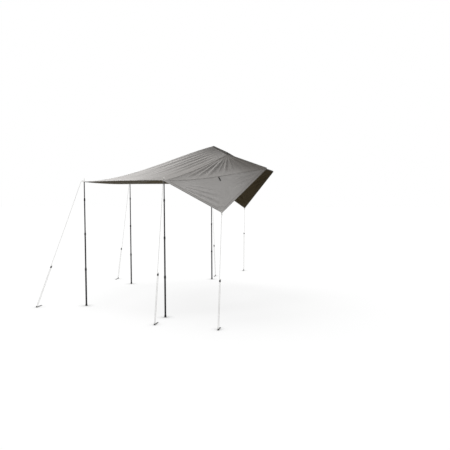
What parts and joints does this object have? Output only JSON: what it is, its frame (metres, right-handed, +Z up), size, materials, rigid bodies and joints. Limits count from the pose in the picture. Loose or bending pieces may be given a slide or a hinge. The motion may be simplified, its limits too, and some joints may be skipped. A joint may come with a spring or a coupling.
{
  "type": "rooftop tent awning",
  "caption": "Fabric awning that joins a rooftop tent's side, with hanging side wings, telescopic poles with twist locks, and pegged guy ropes with runners.",
  "frame": {"origin": "on the ground, under the middle of the canopy and its poles without the ropes and pegs", "axes": "+Z up; +X from the outer poles towards the tent; +Y along the tent's side, from the near to the far side"},
  "size_m": [3.5764, 5.811, 2.5451],
  "materials": {
    "canopy": "coated ripstop polyester, grey outside and dark olive-brown inside",
    "tape": "dark woven polyester tape",
    "top_tube": "dark grey satin steel tube with a bare spigot",
    "pole": "black powder coated steel tube",
    "collar": "black moulded nylon with grip ribs",
    "foot": "black moulded rubber",
    "rope": "pale braided polyester cord",
    "runner": "black moulded plastic",
    "peg": "dark coated steel",
    "ring": "bright zinc plated steel"
  },
  "bodies": {
    "canopy": {"attachment_tape": "tape", "corner_ring_far": "ring", "corner_ring_near": "ring", "gusset_far": "canopy", "gusset_near": "canopy", "guy_rope_inner_far": "rope", "guy_rope_inner_near": "rope", "guy_rope_outer_far": "rope", "guy_rope_outer_near": "rope", "guy_rope_wing_far": "rope", "guy_rope_wing_near": "rope", "inner_far_top_tube": "top_tube", "inner_near_top_tube": "top_tube", "outer_far_top_tube": "top_tube", "outer_near_top_tube": "top_tube", "peg_inner_far": "peg", "peg_inner_near": "peg", "peg_outer_far": "peg", "peg_outer_near": "peg", "peg_wing_far": "peg", "peg_wing_near": "peg", "roof_panel": "canopy", "slope_panel_far": "canopy", "slope_panel_near": "canopy", "wing_far": "canopy", "wing_near": "canopy"},
    "outer_near_upper": {"outer_near_upper_tube": "pole"},
    "outer_near_upper_lock": {"outer_near_upper_collar": "collar"},
    "outer_near_lower": {"outer_near_lower_tube": "pole"},
    "outer_near_lower_lock": {"outer_near_lower_collar": "collar"},
    "outer_near_bottom": {"outer_near_bottom_tube": "pole", "outer_near_foot": "foot"},
    "outer_near_bottom_lock": {"outer_near_bottom_collar": "collar"},
    "outer_far_upper": {"outer_far_upper_tube": "pole"},
    "outer_far_upper_lock": {"outer_far_upper_collar": "collar"},
    "outer_far_lower": {"outer_far_lower_tube": "pole"},
    "outer_far_lower_lock": {"outer_far_lower_collar": "collar"},
    "outer_far_bottom": {"outer_far_bottom_tube": "pole", "outer_far_foot": "foot"},
    "outer_far_bottom_lock": {"outer_far_bottom_collar": "collar"},
    "inner_near_upper": {"inner_near_upper_tube": "pole"},
    "inner_near_upper_lock": {"inner_near_upper_collar": "collar"},
    "inner_near_lower": {"inner_near_lower_tube": "pole"},
    "inner_near_lower_lock": {"inner_near_lower_collar": "collar"},
    "inner_near_bottom": {"inner_near_bottom_tube": "pole", "inner_near_foot": "foot"},
    "inner_near_bottom_lock": {"inner_near_bottom_collar": "collar"},
    "inner_far_upper": {"inner_far_upper_tube": "pole"},
    "inner_far_upper_lock": {"inner_far_upper_collar": "collar"},
    "inner_far_lower": {"inner_far_lower_tube": "pole"},
    "inner_far_lower_lock": {"inner_far_lower_collar": "collar"},
    "inner_far_bottom": {"inner_far_bottom_tube": "pole", "inner_far_foot": "foot"},
    "inner_far_bottom_lock": {"inner_far_bottom_collar": "collar"},
    "runner_outer_near": {"runner_outer_near": "runner"},
    "runner_outer_far": {"runner_outer_far": "runner"},
    "runner_inner_near": {"runner_inner_near": "runner"},
    "runner_inner_far": {"runner_inner_far": "runner"},
    "runner_wing_near": {"runner_wing_near": "runner"},
    "runner_wing_far": {"runner_wing_far": "runner"}
  },
  "joints": [
    {"name": "outer_near_upper_slide", "type": "slide", "parent": "canopy", "child": "outer_near_upper", "axis": [0, 0, 1], "range_m": [0, 0.24]},
    {"name": "outer_near_upper_lock_turn", "type": "hinge", "parent": "outer_near_upper", "child": "outer_near_upper_lock", "pos_m": [-1.41038, -1.1, 1.69055], "axis": [0, 0, 1], "range_deg": [0, 90]},
    {"name": "outer_near_lower_slide", "type": "slide", "parent": "outer_near_upper", "child": "outer_near_lower", "axis": [0, 0, 1], "range_m": [0, 0.48]},
    {"name": "outer_near_lower_lock_turn", "type": "hinge", "parent": "outer_near_lower", "child": "outer_near_lower_lock", "pos_m": [-1.41038, -1.1, 1.15155], "axis": [0, 0, 1], "range_deg": [0, 90]},
    {"name": "outer_near_bottom_slide", "type": "slide", "parent": "outer_near_lower", "child": "outer_near_bottom", "axis": [0, 0, 1], "range_m": [0, 0.48]},
    {"name": "outer_near_bottom_lock_turn", "type": "hinge", "parent": "outer_near_bottom", "child": "outer_near_bottom_lock", "pos_m": [-1.41038, -1.1, 0.58755], "axis": [0, 0, 1], "range_deg": [0, 90]},
    {"name": "outer_far_upper_slide", "type": "slide", "parent": "canopy", "child": "outer_far_upper", "axis": [0, 0, 1], "range_m": [0, 0.24]},
    {"name": "outer_far_upper_lock_turn", "type": "hinge", "parent": "outer_far_upper", "child": "outer_far_upper_lock", "pos_m": [-1.41038, 1.1, 1.69055], "axis": [0, 0, 1], "range_deg": [0, 90]},
    {"name": "outer_far_lower_slide", "type": "slide", "parent": "outer_far_upper", "child": "outer_far_lower", "axis": [0, 0, 1], "range_m": [0, 0.48]},
    {"name": "outer_far_lower_lock_turn", "type": "hinge", "parent": "outer_far_lower", "child": "outer_far_lower_lock", "pos_m": [-1.41038, 1.1, 1.15155], "axis": [0, 0, 1], "range_deg": [0, 90]},
    {"name": "outer_far_bottom_slide", "type": "slide", "parent": "outer_far_lower", "child": "outer_far_bottom", "axis": [0, 0, 1], "range_m": [0, 0.48]},
    {"name": "outer_far_bottom_lock_turn", "type": "hinge", "parent": "outer_far_bottom", "child": "outer_far_bottom_lock", "pos_m": [-1.41038, 1.1, 0.58755], "axis": [0, 0, 1], "range_deg": [0, 90]},
    {"name": "inner_near_upper_slide", "type": "slide", "parent": "canopy", "child": "inner_near_upper", "axis": [0, 0, 1], "range_m": [0, 0.24]},
    {"name": "inner_near_upper_lock_turn", "type": "hinge", "parent": "inner_near_upper", "child": "inner_near_upper_lock", "pos_m": [0.06462, -1.825, 1.69359], "axis": [0, 0, 1], "range_deg": [0, 90]},
    {"name": "inner_near_lower_slide", "type": "slide", "parent": "inner_near_upper", "child": "inner_near_lower", "axis": [0, 0, 1], "range_m": [0, 0.48]},
    {"name": "inner_near_lower_lock_turn", "type": "hinge", "parent": "inner_near_lower", "child": "inner_near_lower_lock", "pos_m": [0.06462, -1.825, 1.15459], "axis": [0, 0, 1], "range_deg": [0, 90]},
    {"name": "inner_near_bottom_slide", "type": "slide", "parent": "inner_near_lower", "child": "inner_near_bottom", "axis": [0, 0, 1], "range_m": [0, 0.48]},
    {"name": "inner_near_bottom_lock_turn", "type": "hinge", "parent": "inner_near_bottom", "child": "inner_near_bottom_lock", "pos_m": [0.06462, -1.825, 0.59059], "axis": [0, 0, 1], "range_deg": [0, 90]},
    {"name": "inner_far_upper_slide", "type": "slide", "parent": "canopy", "child": "inner_far_upper", "axis": [0, 0, 1], "range_m": [0, 0.24]},
    {"name": "inner_far_upper_lock_turn", "type": "hinge", "parent": "inner_far_upper", "child": "inner_far_upper_lock", "pos_m": [0.06462, 1.825, 1.69359], "axis": [0, 0, 1], "range_deg": [0, 90]},
    {"name": "inner_far_lower_slide", "type": "slide", "parent": "inner_far_upper", "child": "inner_far_lower", "axis": [0, 0, 1], "range_m": [0, 0.48]},
    {"name": "inner_far_lower_lock_turn", "type": "hinge", "parent": "inner_far_lower", "child": "inner_far_lower_lock", "pos_m": [0.06462, 1.825, 1.15459], "axis": [0, 0, 1], "range_deg": [0, 90]},
    {"name": "inner_far_bottom_slide", "type": "slide", "parent": "inner_far_lower", "child": "inner_far_bottom", "axis": [0, 0, 1], "range_m": [0, 0.48]},
    {"name": "inner_far_bottom_lock_turn", "type": "hinge", "parent": "inner_far_bottom", "child": "inner_far_bottom_lock", "pos_m": [0.06462, 1.825, 0.59059], "axis": [0, 0, 1], "range_deg": [0, 90]},
    {"name": "runner_outer_near_slide", "type": "slide", "parent": "canopy", "child": "runner_outer_near", "axis": [0.3278, 0.0845, 0.941], "range_m": [-0.25, 0]},
    {"name": "runner_outer_far_slide", "type": "slide", "parent": "canopy", "child": "runner_outer_far", "axis": [0.2189, -0.2896, 0.9318], "range_m": [-0.25, 0]},
    {"name": "runner_inner_near_slide", "type": "slide", "parent": "canopy", "child": "runner_inner_near", "axis": [0.0116, 0.2185, 0.9758], "range_m": [-0.25, 0]},
    {"name": "runner_inner_far_slide", "type": "slide", "parent": "canopy", "child": "runner_inner_far", "axis": [0.0012, -0.2185, 0.9758], "range_m": [-0.25, 0]},
    {"name": "runner_wing_near_slide", "type": "slide", "parent": "canopy", "child": "runner_wing_near", "axis": [-0.0728, 0.6177, 0.783], "range_m": [-0.25, 0]},
    {"name": "runner_wing_far_slide", "type": "slide", "parent": "canopy", "child": "runner_wing_far", "axis": [0.1075, -0.7819, 0.6141], "range_m": [-0.25, 0]}
  ]
}
